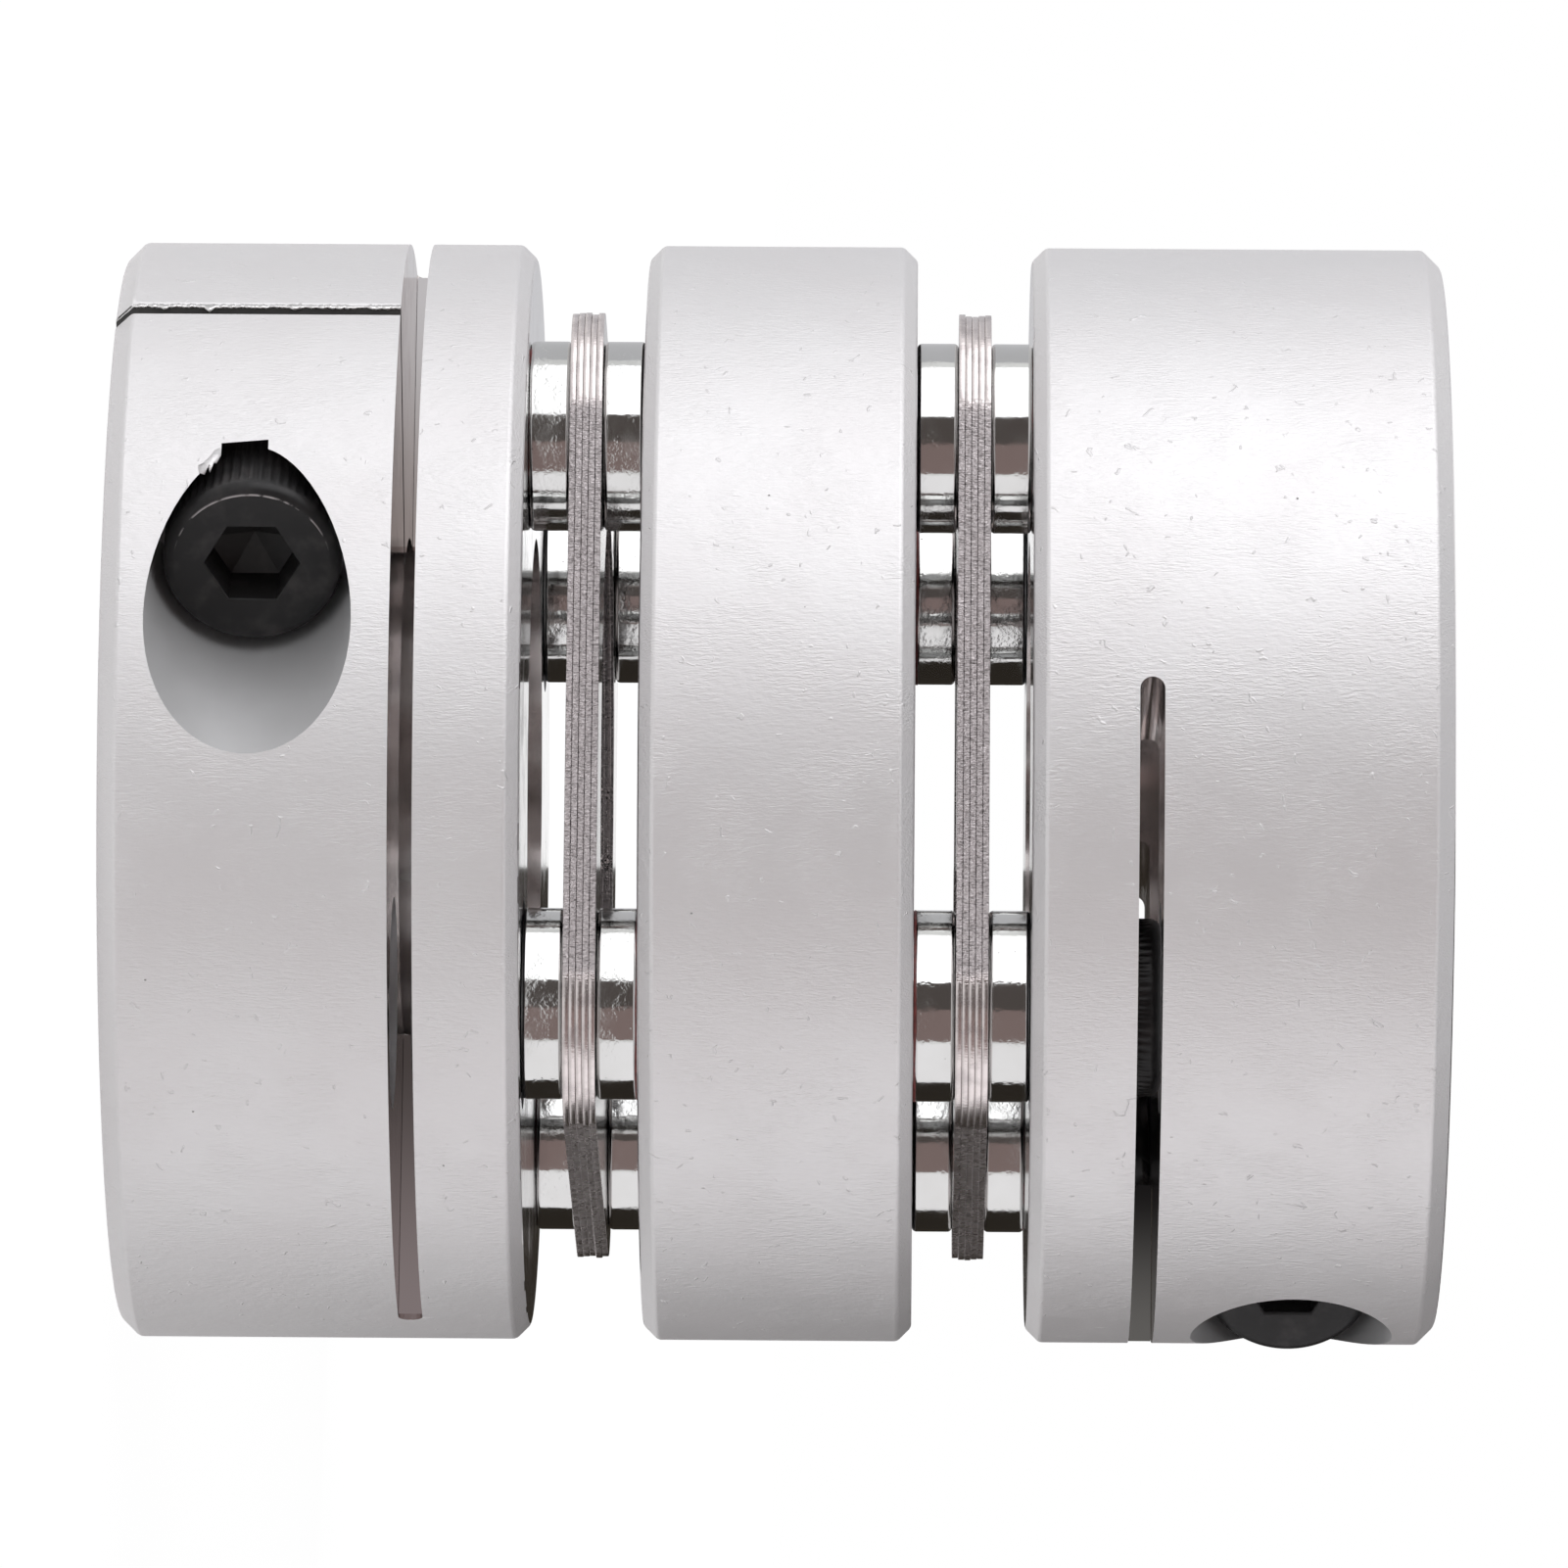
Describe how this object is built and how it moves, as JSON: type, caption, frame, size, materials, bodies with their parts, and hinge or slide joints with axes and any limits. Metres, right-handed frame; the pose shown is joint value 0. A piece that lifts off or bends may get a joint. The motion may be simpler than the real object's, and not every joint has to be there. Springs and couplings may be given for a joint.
{
  "type": "disc coupling",
  "caption": "Flexible disc coupling: slit clamp hubs at the ends, a ring between them, and packs of spring leaves held by screws and round collars.",
  "frame": {"origin": "centre of the lower hub's bore at its outer face, on which the coupling stands", "axes": "+Z along the coupling's axis from the lower hub to the upper; -Y is the side from which both clamp screws are turned; the lower hub's slit opens towards -X and the upper hub's towards +X"},
  "size_m": [0.082, 0.082, 0.098],
  "materials": {
    "aluminium": "satin, clear anodised",
    "spring_steel": "punched spring steel",
    "zinc_plate": "bright zinc plate",
    "black_oxide": "black oxide"
  },
  "bodies": {
    "root": {"clamp_screw_lower": "black_oxide", "clamp_screw_upper": "black_oxide", "disc_pack_lower": "spring_steel", "disc_pack_upper": "spring_steel", "hub_lower": "aluminium", "hub_screw_lower_1": "black_oxide", "hub_screw_lower_2": "black_oxide", "hub_screw_upper_1": "black_oxide", "hub_screw_upper_2": "black_oxide", "hub_side_collar_lower_1": "zinc_plate", "hub_side_collar_lower_2": "zinc_plate", "hub_side_collar_lower_3": "zinc_plate", "hub_side_collar_lower_4": "zinc_plate", "hub_side_collar_upper_1": "zinc_plate", "hub_side_collar_upper_2": "zinc_plate", "hub_side_collar_upper_3": "zinc_plate", "hub_side_collar_upper_4": "zinc_plate", "hub_upper": "aluminium", "spacer": "aluminium", "spacer_screw_lower_1": "black_oxide", "spacer_screw_lower_2": "black_oxide", "spacer_screw_upper_1": "black_oxide", "spacer_screw_upper_2": "black_oxide", "spacer_side_collar_lower_1": "zinc_plate", "spacer_side_collar_lower_2": "zinc_plate", "spacer_side_collar_lower_3": "zinc_plate", "spacer_side_collar_lower_4": "zinc_plate", "spacer_side_collar_upper_1": "zinc_plate", "spacer_side_collar_upper_2": "zinc_plate", "spacer_side_collar_upper_3": "zinc_plate", "spacer_side_collar_upper_4": "zinc_plate"}
  },
  "joints": []
}
